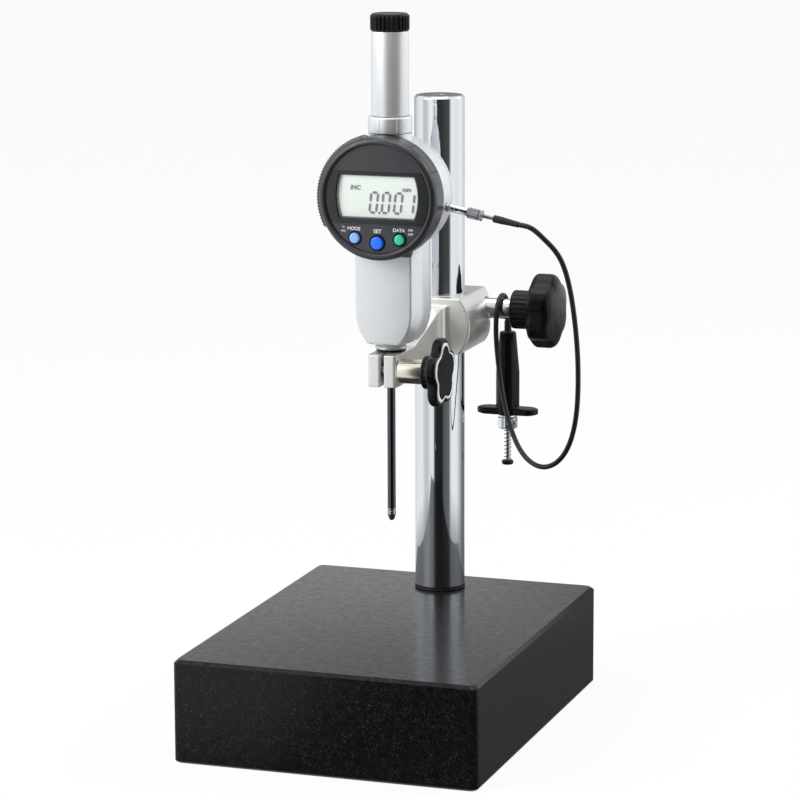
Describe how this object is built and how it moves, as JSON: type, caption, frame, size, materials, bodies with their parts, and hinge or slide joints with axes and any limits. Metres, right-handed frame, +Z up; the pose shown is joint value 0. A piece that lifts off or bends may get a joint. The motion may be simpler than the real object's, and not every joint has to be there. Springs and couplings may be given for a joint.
{
  "type": "comparator stand",
  "caption": "Granite comparator stand: round column, sliding bracket with knobs, digital indicator clamped by its stem, and a cable release with a finger handle.",
  "frame": {"origin": "middle of the granite base's underside, straight below the indicator's spindle", "axes": "+Z up along the column, +X to the right as one faces the display, -Y to the front where the display faces"},
  "size_m": [0.1647, 0.2107, 0.3465],
  "materials": {
    "granite": "lapped and polished black granite",
    "chrome": "hard chrome plate, polished",
    "nickel": "nickel plate, slightly yellow",
    "steel": "ground steel",
    "pearl_paint": "pearl white satin paint on a casting",
    "silver_paint": "fine silver metallic paint",
    "black_plastic": "moulded black plastic, satin",
    "dark_plastic": "moulded dark grey plastic, satin",
    "grey_gloss": "glossy grey insert",
    "rubber": "black sleeve",
    "lcd_glass": "pale grey-green liquid crystal panel",
    "clear_plastic": "clear",
    "circuit_board": "green solder mask",
    "pale_blue_plastic": "moulded, satin",
    "blue_plastic": "moulded, satin",
    "green_plastic": "moulded, satin"
  },
  "bodies": {
    "base": {"granite_base": "granite", "column_bolt": "steel", "column_bolt_washer": "steel", "column_foot_ring": "rubber"},
    "column_post": {"column": "chrome"},
    "arm": {"bracket": "pearl_paint", "release_handle": "black_plastic", "handle_boot": "rubber", "handle_neck": "chrome", "plunger_spring": "steel", "release_cable": "rubber"},
    "column_knob": {"column_clamp_screw": "steel", "column_clamp_sleeve": "chrome", "column_clamp_knob": "black_plastic"},
    "stem_knob": {"stem_clamp_screw": "steel", "stem_clamp_sleeve": "nickel", "stem_clamp_knob": "black_plastic", "stem_clamp_knob_face": "grey_gloss"},
    "indicator": {"indicator_case": "silver_paint", "back_cover": "silver_paint", "cover_screw_1": "steel", "cover_screw_2": "steel", "cover_screw_3": "steel", "cover_screw_4": "steel", "stem": "chrome", "stem_ring": "black_plastic", "tube_collar": "silver_paint", "cover_tube": "silver_paint", "tube_cap": "black_plastic", "encoder_board": "circuit_board", "reading_head": "black_plastic", "release_port": "chrome", "release_barrel": "chrome", "release_nut": "chrome", "release_neck": "steel", "release_boot": "rubber", "return_spring": "steel", "lever_pin": "steel"},
    "lever": {"lift_lever": "steel"},
    "spindle_group": {"spindle": "steel", "contact_point": "steel", "lift_collar": "steel", "scale_strip": "clear_plastic"},
    "display": {"bezel": "dark_plastic", "battery_hatch": "dark_plastic", "face_plate": "black_plastic", "window": "clear_plastic", "lcd_panel": "lcd_glass", "display_board": "circuit_board", "battery": "steel", "bezel_back": "black_plastic", "hub_clip": "steel"},
    "mode_button": {"button_mode": "pale_blue_plastic"},
    "set_button": {"button_set": "blue_plastic"},
    "data_button": {"button_data": "green_plastic"},
    "plunger": {"plunger_rod": "steel", "thumb_button": "black_plastic"},
    "lock": {"lock_screw": "chrome"}
  },
  "joints": [
    {"name": "arm_swing", "type": "hinge", "parent": "base", "child": "column_post", "pos_m": [0, 0.075, 0.0503], "axis": [0, 0, 1], "continuous": true},
    {"name": "arm_height", "type": "slide", "parent": "column_post", "child": "arm", "axis": [0, 0, 1], "range_m": [-0.05, 0.095]},
    {"name": "column_knob_turn", "type": "hinge", "parent": "arm", "child": "column_knob", "pos_m": [0, 0.0935, 0.1913], "axis": [1, 0, 0], "range_deg": [0, 360]},
    {"name": "stem_knob_turn", "type": "hinge", "parent": "arm", "child": "stem_knob", "pos_m": [0, -0.009, 0.1766], "axis": [1, 0, 0], "range_deg": [0, 360]},
    {"name": "indicator_swivel", "type": "hinge", "parent": "arm", "child": "indicator", "pos_m": [0, 0, 0.1688], "axis": [0, 0, 1], "range_deg": [-45, 45]},
    {"name": "display_turn", "type": "hinge", "parent": "indicator", "child": "display", "pos_m": [0, 0, 0.2604], "axis": [0, -1, 0], "range_deg": [-60, 270]},
    {"name": "mode_button_press", "type": "slide", "parent": "display", "child": "mode_button", "axis": [0, 1, 0], "range_m": [0, 0.0008], "stiffness_N_per_m": 600, "springref_m": -0.0005},
    {"name": "set_button_press", "type": "slide", "parent": "display", "child": "set_button", "axis": [0, 1, 0], "range_m": [0, 0.0008], "stiffness_N_per_m": 600, "springref_m": -0.0005},
    {"name": "data_button_press", "type": "slide", "parent": "display", "child": "data_button", "axis": [0, 1, 0], "range_m": [0, 0.0008], "stiffness_N_per_m": 600, "springref_m": -0.0005},
    {"name": "spindle_lift", "type": "slide", "parent": "indicator", "child": "spindle_group", "axis": [0, 0, 1], "range_m": [0, 0.0508], "stiffness_N_per_m": 15, "springref_m": -0.04, "deforming": ["return_spring"]},
    {"name": "release_press", "type": "slide", "parent": "arm", "child": "plunger", "axis": [0, 0, 1], "range_m": [0, 0.01], "stiffness_N_per_m": 120, "springref_m": -0.005, "deforming": ["plunger_spring"]},
    {"name": "lever_turn", "type": "hinge", "parent": "indicator", "child": "lever", "pos_m": [0.0165, 0, 0.2616], "axis": [0, 1, 0], "range_deg": [0, 18]},
    {"name": "lock_screw_turn", "type": "hinge", "parent": "arm", "child": "lock", "pos_m": [0.027, 0.1035, 0.1317], "axis": [0.5736, -0.8192, 0], "range_deg": [0, 180]}
  ],
  "couplings": [
    {"joint": "lever_turn", "follows": "release_press", "rad_per_m": 31}
  ]
}
